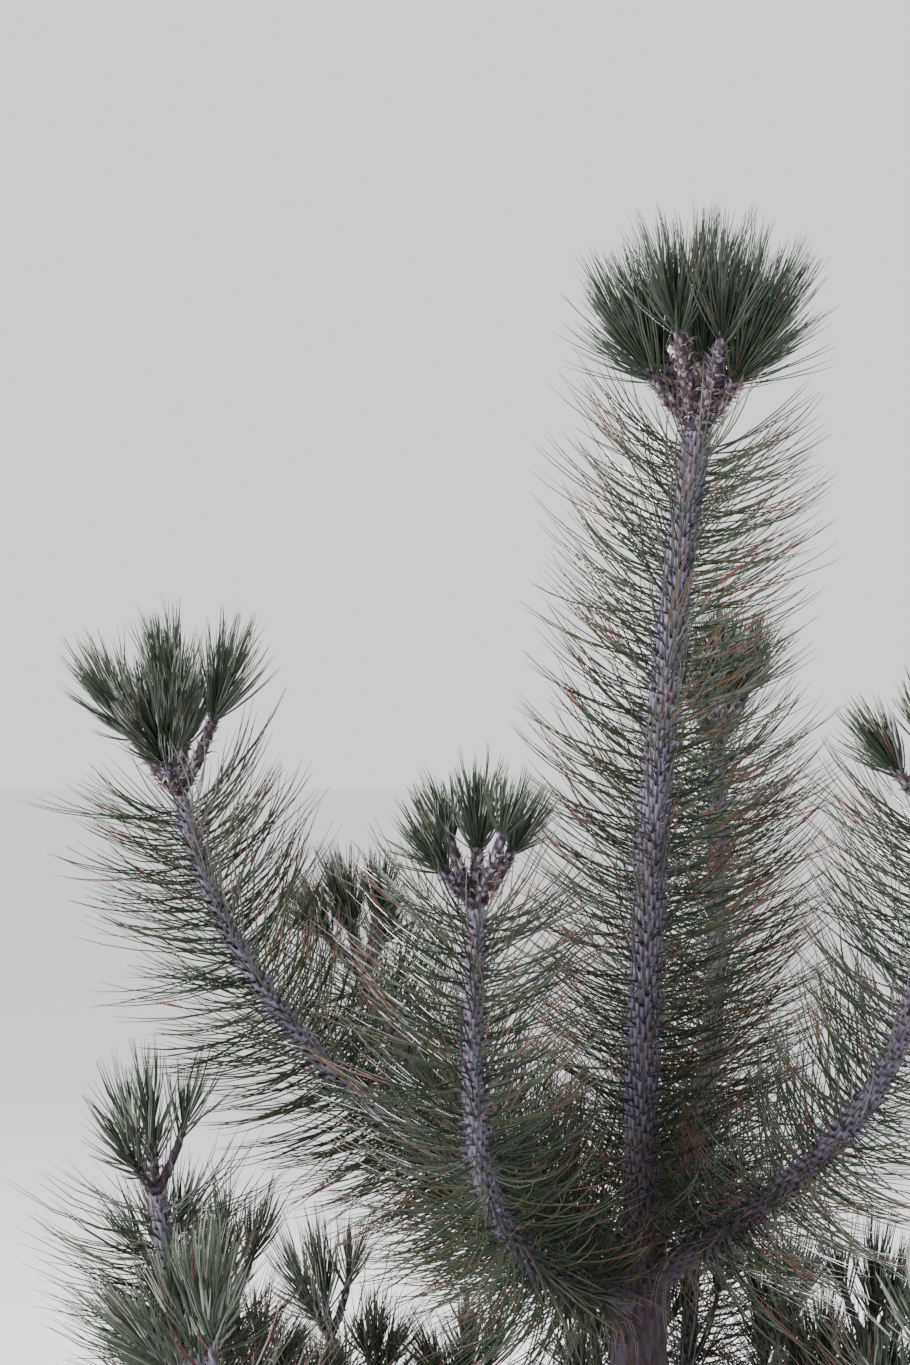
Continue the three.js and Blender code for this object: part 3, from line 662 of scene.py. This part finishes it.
WOOD = wood_segments()
LOWEST_REACH, FURTHEST_REACH = np.array(cad_box) / MM + [[-REACH_BEYOND_SOLIDS], [REACH_BEYOND_SOLIDS]]
LOWEST_REACH[2] = CLEAR_OF_GROUND


def needle_point(n, share):
    """Where the middle of each needle is at a share of its length."""
    lean = blend(n["start"], n["finish"], share)
    bend = n["finish"] - n["start"]
    out = (np.cos(n["start"]) - np.cos(lean)) / bend * n["span"]
    ahead = (np.sin(lean) - np.sin(n["start"])) / bend * n["span"]
    aside = n["swerve"] * n["span"] * share**2
    across = np.cross(n["heading"], n["outward"])
    parts = n["outward"] * out[:, None] + n["heading"] * ahead[:, None] + across * aside[:, None]
    return n["root"] + parts


def is_clear(n):
    """True where a needle's outer part keeps out of all wood, off the ground and within the tree's reach."""
    clear = np.ones(len(n["span"]), bool)
    for share in TESTED_SHARES:
        point = needle_point(n, share)
        clear &= (point > LOWEST_REACH).all(1) & (point < FURTHEST_REACH).all(1)
        for start, end, radius in WOOD:
            way = end - start
            near = np.flatnonzero(np.abs(point - (start + end) / 2).max(1) < NEAR_WOOD)
            if not len(near):
                continue
            step = np.clip((point[near] - start) @ way / way.dot(way), 0, 1)
            gap = np.linalg.norm(point[near] - start - step[:, None] * way, axis=1)
            clear[near[gap < radius + CLEAR_OF_WOOD]] = False
    return clear


def between(pair, share):
    return np.interp(share, (0, 1), pair)


def needles_on(limb, first, last, pitch, rule, length=None):
    """The needle pairs of one shoot between two shares of its length, each on its own cushion."""
    number = np.arange(math.ceil(first * limb.length / pitch), int(last * limb.length / pitch))
    number = number[chance.random(len(number)) < rule.kept]
    reach, pairs = number * pitch + 1, len(number)
    share = (reach / limb.length - first) / (last - first)

    def at(values):
        return np.stack([np.interp(reach, limb.reach, column) for column in values.T], -1)

    turn = number * math.radians(GOLDEN_ANGLE)
    outward = at(limb.side) * np.cos(turn)[:, None] + at(limb.up) * np.sin(turn)[:, None]
    swing = chance.normal(0, rule.swing, pairs)
    span = (length or rule.length) * chance.uniform(*rule.spans, pairs)
    tint = chance.choice(len(rule.tints), pairs, p=rule.tints)
    ripe = np.where(chance.random(pairs) < rule.ripe, chance.choice(rule.ripe_from, pairs), NO_TIP_TINT)
    two, hand, count = np.repeat(np.arange(pairs), 2), np.tile([-1, 1], pairs), 2 * pairs
    splay = np.radians(chance.uniform(*rule.splay, count)) * hand
    heading, out = at(limb.heading)[two], outward[two]
    across = np.cross(heading, out)
    radius = ROOT_IN_BARK * np.interp(reach, limb.reach, limb.radius)
    swerve = chance.normal(0, rule.swerve, pairs)[two] + chance.normal(0, rule.swerve * PAIR_SWERVE, count)
    lengths = span[two] * chance.uniform(*PAIR_LENGTHS, count)
    start, finish = between(rule.start, share) + swing, between(rule.finish, share) + swing
    return {
        "heading": heading,
        "outward": out * np.cos(splay)[:, None] + across * np.sin(splay)[:, None],
        "root": at(limb.points)[two] + out * radius[two][:, None] + across * (PAIR_GAP * hand)[:, None],
        "span": lengths,
        "start": np.radians(start[two] + chance.normal(0, START_SPREAD, count)),
        "finish": np.radians(finish[two] + chance.normal(0, FINISH_SPREAD, count)),
        "swerve": swerve,
        "tint": tint[two].astype(float),
        "ripe": ripe[two],
    }


def joined_needles(parts):
    return {key: np.concatenate([part[key] for part in parts]) for key in parts[0]}


def kept_clear(n):
    """The needles that fit, each at the longest of its lengths that keeps out of the wood."""
    full, done = n["span"].copy(), np.zeros(len(n["span"]), bool)
    for share in SHORTER:
        trial = {**n, "span": np.where(done, n["span"], full * share)}
        n, done = trial, done | is_clear(trial)
    return {key: value[done] for key, value in n.items()}


SLIVER_SIDES, FINISH_NAMES = 3, ("Finish 0", "Finish 1", "Finish 2", "Finish 3")


def needle_tree():
    """Nodes that put a straight sliver at each point, bend it by the point's attributes and colour it."""
    tree = bpy.data.node_groups.new("needles along shoots", "GeometryNodeTree")

    def inlet(name, kind, value=None):
        socket = tree.interface.new_socket(name=name, in_out="INPUT", socket_type=kind)
        if value is not None:
            socket.default_value = value

    def reckon(operation, *values):
        return add_node(tree, "ShaderNodeMath", *values, operation=operation).outputs[0]

    def stretched(vector, factor):
        made = add_node(tree, "ShaderNodeVectorMath", vector, operation="SCALE")
        tree.links.new(factor, made.inputs["Scale"])
        return made.outputs[0]

    def read(name, kind="FLOAT"):
        return add_node(tree, "GeometryNodeInputNamedAttribute", name, data_type=kind).outputs[0]

    inlet("Geometry", "NodeSocketGeometry")
    inlet("Radius", "NodeSocketFloat", 0.001)
    inlet("Breadth", "NodeSocketFloat", 1.0)
    inlet("Tip Radius", "NodeSocketFloat", 0.25)
    inlet("Segments", "NodeSocketInt", 4)
    for name in (*FINISH_NAMES, "Tip Finish"):
        inlet(name, "NodeSocketMaterial")
    tree.interface.new_socket(name="Geometry", in_out="OUTPUT", socket_type="NodeSocketGeometry")
    given = tree.nodes.new("NodeGroupInput").outputs

    sliver = add_node(tree, "GeometryNodeMeshCone", SLIVER_SIDES, given["Segments"], 1, 1.0, 1.0, 1.0)
    place = tree.nodes.new("GeometryNodeInputPosition").outputs[0]
    shape = add_node(
        tree, "GeometryNodeStoreNamedAttribute", sliver.outputs["Mesh"], None, "shape", place,
        data_type="FLOAT_VECTOR",
    )
    spread = add_node(tree, "GeometryNodeInstanceOnPoints", given["Geometry"], None, shape.outputs[0])
    real = add_node(tree, "GeometryNodeRealizeInstances", spread.outputs[0])

    outline = add_node(tree, "ShaderNodeSeparateXYZ", read("shape", "FLOAT_VECTOR")).outputs
    share, start, finish, span = outline["Z"], read("start"), read("finish"), read("span")
    bend = reckon("SUBTRACT", finish, start)
    lean = reckon("MULTIPLY_ADD", share, bend, start)
    per_bend = reckon("DIVIDE", span, bend)
    cos_start, cos_lean = reckon("COSINE", start), reckon("COSINE", lean)
    sin_start, sin_lean = reckon("SINE", start), reckon("SINE", lean)
    out = reckon("MULTIPLY", reckon("SUBTRACT", cos_start, cos_lean), per_bend)
    ahead = reckon("MULTIPLY", reckon("SUBTRACT", sin_lean, sin_start), per_bend)
    squared = reckon("MULTIPLY", share, share)
    swerve = reckon("MULTIPLY", read("swerve"), span)
    thinning = reckon("SUBTRACT", given["Tip Radius"], 1.0)
    taper = reckon("MULTIPLY_ADD", reckon("MULTIPLY", squared, squared), thinning, 1.0)
    thick = reckon("MULTIPLY", taper, given["Radius"])
    inwards = reckon("MULTIPLY", outline["X"], thick)
    sideways = reckon("MULTIPLY", reckon("MULTIPLY", outline["Y"], thick), given["Breadth"])
    sideways = reckon("MULTIPLY_ADD", swerve, squared, sideways)
    out = reckon("MULTIPLY_ADD", inwards, cos_lean, out)
    ahead = reckon("SUBTRACT", ahead, reckon("MULTIPLY", inwards, sin_lean))
    heading, outward = read("heading", "FLOAT_VECTOR"), read("outward", "FLOAT_VECTOR")
    across = add_node(tree, "ShaderNodeVectorMath", heading, outward, operation="CROSS_PRODUCT").outputs[0]
    point = read("root", "FLOAT_VECTOR")
    for vector, factor in ((heading, ahead), (outward, out), (across, sideways)):
        moved = stretched(vector, factor)
        point = add_node(tree, "ShaderNodeVectorMath", point, moved, operation="ADD").outputs[0]
    shaped = add_node(tree, "GeometryNodeSetPosition", real.outputs[0], None, point).outputs[0]

    for i, name in enumerate(FINISH_NAMES):
        chosen = reckon("COMPARE", read("tint"), float(i), 0.5)
        shaped = add_node(tree, "GeometryNodeSetMaterial", shaped, chosen, given[name]).outputs[0]
    # From its tip share on, a needle takes the tip finish: russet on the old needles, a painted highlight on
    # the brushes.
    ripened = reckon("GREATER_THAN", share, read("ripe"))
    shaped = add_node(tree, "GeometryNodeSetMaterial", shaped, ripened, given["Tip Finish"]).outputs[0]
    tree.links.new(shaped, tree.nodes.new("NodeGroupOutput").inputs[0])
    return tree


NEEDLES_ALONG_SHOOTS = needle_tree()


def needle_piece(name, n, finishes, nodes, radius=NEEDLE_RADIUS, breadth=1.0, tip=0.25, segments=4):
    """A joined piece of needles from their attributes, by way of the tree of nodes."""
    points = bpy.data.meshes.new(name + "_roots")
    points.from_pydata(n["root"] * MM, [], [])
    for key, values in n.items():
        lengths = MM if key in ("root", "span") else 1
        kind, field = ("FLOAT_VECTOR", "vector") if values.ndim == 2 else ("FLOAT", "value")
        attribute = points.attributes.new(key, kind, "POINT")
        attribute.data.foreach_set(field, (values * lengths).astype(np.float32).ravel())
    roots = bpy.data.objects.new(name + "_roots", points)
    bpy.context.scene.collection.objects.link(roots)
    grown = roots.modifiers.new("needles", "NODES")
    grown.node_group = NEEDLES_ALONG_SHOOTS
    sizes = {"Radius": radius * MM, "Breadth": breadth, "Tip Radius": tip, "Segments": segments}
    sizes |= dict(zip(FINISH_NAMES, finishes[:-1]))
    sizes["Tip Finish"] = finishes[-1]
    for socket in NEEDLES_ALONG_SHOOTS.interface.items_tree:
        if socket.in_out == "INPUT" and socket.name in sizes:
            grown[socket.identifier] = sizes[socket.name]
    evaluated = roots.evaluated_get(bpy.context.evaluated_depsgraph_get())
    mesh = bpy.data.meshes.new_from_object(evaluated)
    for key in [*n, "shape"]:
        if key in mesh.attributes:
            mesh.attributes.remove(mesh.attributes[key])
    mesh.name = name
    bpy.data.objects.remove(roots)
    piece = bpy.data.objects.new(name, mesh)
    bpy.context.scene.collection.objects.link(piece)
    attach(piece, "root")
    if nodes:
        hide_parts(*nodes)
    return piece


def needle_finish(name, colour, aged, roughness=0.3):
    """A needle's waxy skin: one base colour, a little duller in patches along the shoot."""
    finish, tree, shader = new_finish(name, roughness, specular=0.45)
    tint = mix_colours(tree, patches(tree, scale=14, flecks=0.6), colour, aged)
    tree.links.new(tint, shader.inputs["Base Color"])
    return finish


DARK_GREEN = needle_finish("dark green needle", (0.024, 0.036, 0.021), (0.031, 0.041, 0.027))
DEEP_GREEN = needle_finish("deep green needle", (0.041, 0.060, 0.034), (0.048, 0.064, 0.041))
OLIVE_GREEN = needle_finish("olive needle", (0.073, 0.084, 0.044), (0.078, 0.084, 0.052))
# Painted highlight: a few needles are pale grey-green all along, standing for glints of light on their wax.
PAINTED_GLINT_GREEN = needle_finish("painted glint needle", (0.145, 0.157, 0.140), (0.115, 0.125, 0.112))
RUSSET = needle_finish("russet needle tip", (0.142, 0.054, 0.037), (0.100, 0.049, 0.036), 0.4)
OLD_NEEDLES = (DARK_GREEN, DEEP_GREEN, OLIVE_GREEN, PAINTED_GLINT_GREEN, RUSSET)
OLD_RULE = SimpleNamespace(
    length=NEEDLE_LENGTH, start=(84, 78), finish=(50, 42), swing=9, splay=(1.5, 8), spans=(0.7, 1.06),
    swerve=0.12, tints=(0.35, 0.35, 0.25, 0.05), ripe=0.46, ripe_from=(0.82, 0.75, 0.66, 0.52), kept=0.92,
)
LEADER_RULE = SimpleNamespace(**{**vars(OLD_RULE), "ripe": 0.68})

# The leader's needles are counted from the ground, as the cushions of the trunk's bark are. Each row of
# three numbers is the first and last share of a length that has needles, and the pitch of their spiral.
LEADER_NEEDLES = (1016 / TRUNK_TOP, 0.99, LEADER_PITCH)
TWIG_NEEDLES, TWIG_NEEDLE_LENGTH = (0.22, 0.96, 2.2), NEEDLE_LENGTH * 0.88
LAST_NEEDLES, WHORL_SEGMENTS = 0.98, (5, 3, 3)
leader_limb = limb_along(trunk_point(np.arange(CROWN_HEIGHT, TRUNK_TOP + 1, 2.0)))
leader_limb.reach = leader_limb.points[:, 2]
leader_limb.length = TRUNK_TOP
leader_limb.radius = trunk_radius(leader_limb.reach)
leader_needles = kept_clear(needles_on(leader_limb, *LEADER_NEEDLES, LEADER_RULE))
collars = [f"leader_needles_{i + 1}" for i in range(4)]
needle_piece("leader_needles", leader_needles, OLD_NEEDLES, collars, segments=6)

needles_of = {}
for whorl, segments in zip(WHORLS, WHORL_SEGMENTS):
    own_limbs = [limb for limb in limbs if limb.whorl is whorl]
    own_twigs = [twig for twig in twigs + fine_twigs if twig.whorl is whorl]
    parts = [needles_on(limb, whorl.bare, LAST_NEEDLES, whorl.pitch, OLD_RULE) for limb in own_limbs]
    parts += [needles_on(twig, *TWIG_NEEDLES, OLD_RULE, TWIG_NEEDLE_LENGTH) for twig in own_twigs]
    nodes = [f"needles_{limb.name}" for limb in own_limbs]
    grown = needles_of[whorl.name] = kept_clear(joined_needles(parts))
    needle_piece(f"{whorl.name}_needles", grown, OLD_NEEDLES, nodes, segments=segments)

# Needle sheaths: the short scaly sleeve that holds each pair at its foot, lavender grey to dark brown. They
# stand out square from the leader and the crown's boughs, in line with the needles that leave them. Where a
# pair has fallen, its stub still stands there, curved up like a hook.
LAVENDER_SHEATH = needle_finish("lavender sheath", (0.26, 0.24, 0.33), (0.19, 0.17, 0.23), 0.6)
DARK_SHEATH = needle_finish("dark sheath", (0.050, 0.036, 0.040), (0.070, 0.055, 0.062), 0.6)
SHEATH_LENGTH = 6.5


def sheaths_of(n):
    share = SHEATH_LENGTH / n["span"]
    sleeves = {key: n[key] for key in ("heading", "outward", "root", "start")}
    sleeves["span"] = np.full(len(share), SHEATH_LENGTH)
    sleeves["finish"] = blend(n["start"], n["finish"], share)
    sleeves["swerve"] = np.zeros(len(share))
    sleeves["tint"] = chance.choice(2, len(share)).astype(float)
    sleeves["ripe"] = np.full(len(share), NO_TIP_TINT)
    return sleeves


STUB_RULE = SimpleNamespace(
    length=10, start=(80, 80), finish=(52, 40), swing=8, splay=(0, 6), spans=(0.7, 1.15),
    swerve=0.1, tints=(0.6, 0.4), ripe=0, ripe_from=(0.7,), kept=0.9,
)
LEADER_STUBS, CROWN_STUBS = (1040 / TRUNK_TOP, 0.97, 1.5), (0.1, 0.96, 1.7)
stubs = [needles_on(leader_limb, *LEADER_STUBS, STUB_RULE)]
stubs += [needles_on(limb, *CROWN_STUBS, STUB_RULE) for limb in crown_limbs]
sheaths = joined_needles([sheaths_of(leader_needles), sheaths_of(needles_of["crown"]), *stubs])
sheath_mix = (LAVENDER_SHEATH, DARK_SHEATH, LAVENDER_SHEATH)
needle_piece("needle_sheaths", sheaths, sheath_mix, [], radius=1.05, tip=0.8, segments=1)

# Dead needles: last year's pairs that have dried to straw, grey or brown and hang from the inner boughs.
# They keep their root on the bark, and droop from it under their own weight.
STRAW = needle_finish("dead straw needle", (0.215, 0.180, 0.145), (0.150, 0.125, 0.100), 0.6)
GREYED = needle_finish("dead grey needle", (0.200, 0.188, 0.188), (0.140, 0.130, 0.130), 0.7)
DRY_BROWN = needle_finish("dead brown needle", (0.11, 0.072, 0.050), (0.08, 0.055, 0.042), 0.6)
DEAD_RULE = SimpleNamespace(
    length=88, start=(78, 78), finish=(6, 6), swing=14, splay=(2, 12), spans=(0.45, 1.0),
    swerve=0.12, tints=(0.4, 0.35, 0.25), ripe=0, ripe_from=(0.7,), kept=0.5,
)


def dead_needles_on(limb, stretch):
    """Pairs that hang: they leave their own side of the limb and bend down."""
    hung = needles_on(limb, *stretch, DEAD_RULE)
    level = hung["outward"] * (1, 1, 0)
    hung["outward"] = level / np.linalg.norm(level, axis=1)[:, None]
    hung["heading"] = np.tile([0, 0, -1.0], (len(level), 1))
    return hung


CROWN_DEAD, LOWER_DEAD = (0.04, 0.42, 2.6), (0.25, 0.5, 9.0)
dead = [dead_needles_on(limb, CROWN_DEAD) for limb in crown_limbs]
dead += [dead_needles_on(limb, LOWER_DEAD) for limb in lower_limbs]
dead_mix = (STRAW, GREYED, DRY_BROWN, STRAW)
hanging = kept_clear(joined_needles(dead))
needle_piece("dead_needles", hanging, dead_mix, [], radius=0.62, segments=6)

# Papery scales: dry bracts that the new shoots pushed out of their buds. They stay on the bare feet of the
# shoots and round the top of each limb, cream, grey or brown, and curl away from the bark.
PAPER = needle_finish("papery scale", (0.50, 0.45, 0.43), (0.36, 0.32, 0.33), 0.7)
GREY_SCALE = needle_finish("grey scale", (0.30, 0.27, 0.33), (0.22, 0.20, 0.25), 0.75)
BROWN_SCALE = needle_finish("brown scale", (0.15, 0.10, 0.09), (0.11, 0.08, 0.08), 0.75)
SCALES = (PAPER, GREY_SCALE, BROWN_SCALE, PAPER)
SCALE_RULE = SimpleNamespace(
    length=10, start=(12, 12), finish=(78, 78), swing=22, splay=(8, 28), spans=(0.55, 1.25),
    swerve=0.2, tints=(0.2, 0.36, 0.44), ripe=0, ripe_from=(0.7,), kept=0.85,
)
strong_shoots = [shoot for shoot in sum(lower_shoots.values(), []) if shoot.cluster is LOWER_CLUSTER]
# The wood that has scales, with the first and last share of its length that has them, and their pitch.
SCALED = [
    ([leader_limb], (0.984, 0.999, 0.5)),
    (leader_shoots, (0.06, 0.66, 0.6)),
    (crown_shoots, (0.06, 0.66, 1.1)),
    (limbs, (0.97, 0.995, 1.0)),
    (strong_shoots, (0.1, 0.6, 4.0)),
]
scales = joined_needles([needles_on(wood, *stretch, SCALE_RULE) for some, stretch in SCALED for wood in some])
needle_piece(
    "papery_scales", scales, SCALES, [], radius=0.42, breadth=3.4, tip=0.1, segments=2
)

# Brushes of the new shoots: this year's needles, shorter, fresher green and dense. The tips of many are
# paler, a painted highlight. They stand on the shoot's end like the hairs of a brush, the lower ones leaning
# out and the upper ones upright.
FRESH_GREEN = needle_finish("fresh green needle", (0.029, 0.044, 0.026), (0.035, 0.048, 0.031))
SOFT_GREEN = needle_finish("soft green needle", (0.048, 0.070, 0.040), (0.054, 0.073, 0.046))
GREY_GREEN = needle_finish("grey-green needle", (0.083, 0.100, 0.076), (0.090, 0.103, 0.082))
PAINTED_TIP_HIGHLIGHT = needle_finish("needle tip painted highlight", (0.270, 0.280, 0.225), (0.205, 0.215, 0.172))
NEW_NEEDLES = (FRESH_GREEN, SOFT_GREEN, GREY_GREEN, RUSSET, PAINTED_TIP_HIGHLIGHT)
BRUSH_RULE = SimpleNamespace(
    start=(43, 12), finish=(24, 0), swing=7, splay=(0.8, 4), spans=(0.42, 1.1),
    swerve=0.06, tints=(0.4, 0.34, 0.24, 0.02), ripe=0.6, ripe_from=(0.88, 0.8, 0.7), kept=0.95,
)
LEADER_BRUSH_PITCH, CROWN_BRUSH_PITCH, LOWER_BRUSH_PITCH = 0.34, 0.31, 0.95
LOWER_BRUSH_SEGMENTS = (2, 1)


def brush(shoots, pitch):
    grown = [needles_on(s, s.bare, 1.0, pitch, BRUSH_RULE, s.cluster.needle) for s in shoots]
    return kept_clear(joined_needles(grown))


# The leader's brush has lighter grey-green tips: painted highlight.
DARK_MIX = (DARK_GREEN, FRESH_GREEN, SOFT_GREEN, RUSSET, GREY_GREEN)
grown = brush(leader_shoots, LEADER_BRUSH_PITCH)
needle_piece("leader_tuft_needles", grown, DARK_MIX, ["leader_tuft"], radius=0.66)
crown_tufts = [f"tuft_{limb.name}" for limb in crown_limbs]
grown = brush(crown_shoots, CROWN_BRUSH_PITCH)
needle_piece("crown_tuft_needles", grown, NEW_NEEDLES, crown_tufts, radius=0.68)
for (name, shoots), segments in zip(lower_shoots.items(), LOWER_BRUSH_SEGMENTS):
    grown = brush(shoots, LOWER_BRUSH_PITCH)
    needle_piece(f"{name}_tuft_needles", grown, NEW_NEEDLES, [], segments=segments)

# Floor and light: a pale studio floor, soft even daylight and two large soft lamps. The camera is level and
# at eye height, two metres in front of the tree.
FLOOR_HALF = 30
floor_mesh = bpy.data.meshes.new("floor")
corners = [(x * FLOOR_HALF, y * FLOOR_HALF, 0) for x, y in ((-1, -1), (1, -1), (1, 1), (-1, 1))]
floor_mesh.from_pydata(corners, [], [(0, 1, 2, 3)])
floor = bpy.data.objects.new("floor", floor_mesh)
bpy.context.scene.collection.objects.link(floor)
floor_finish, floor_nodes, floor_shader = new_finish("pale floor", roughness=0.9, specular=0.2)
floor_patches = patches(floor_nodes, scale=0.6, flecks=0.2)
pale = mix_colours(floor_nodes, floor_patches, (0.90, 0.90, 0.905), (0.88, 0.88, 0.885))
floor_nodes.links.new(pale, floor_shader.inputs["Base Color"])
floor_mesh.materials.append(floor_finish)

world = bpy.data.worlds.new("soft daylight")
world.use_nodes = True
sky = world.node_tree.nodes["Background"]
sky.inputs["Color"].default_value = (0.94, 0.95, 0.96, 1)
sky.inputs["Strength"].default_value = 1.28
bpy.context.scene.world = world

LIT_PLACE = np.array([0, 0, 1.3])
for name, place, power, size in (
    ("back lamp", (1.4, 2.8, 3.6), 260, 1.3),
    ("side lamp", (-3.0, -1.6, 2.8), 220, 2.0),
):
    lamp = bpy.data.lights.new(name, "AREA")
    lamp.energy, lamp.size = power, size
    stand = bpy.data.objects.new(name, lamp)
    bpy.context.scene.collection.objects.link(stand)
    stand.location = place
    aim = LIT_PLACE - np.array(place)
    flat = math.hypot(aim[0], aim[1])
    stand.rotation_euler = (math.atan2(flat, -aim[2]), 0, math.atan2(-aim[0], aim[1]))

lens = bpy.data.cameras.new("viewpoint")
lens.sensor_width, lens.lens = 36, 58.6
camera = bpy.data.objects.new("viewpoint", lens)
bpy.context.scene.collection.objects.link(camera)
camera.location = (-0.1665, -2.0, 1.54225)
camera.rotation_euler = (math.radians(90), 0, 0)
bpy.context.scene.camera = camera
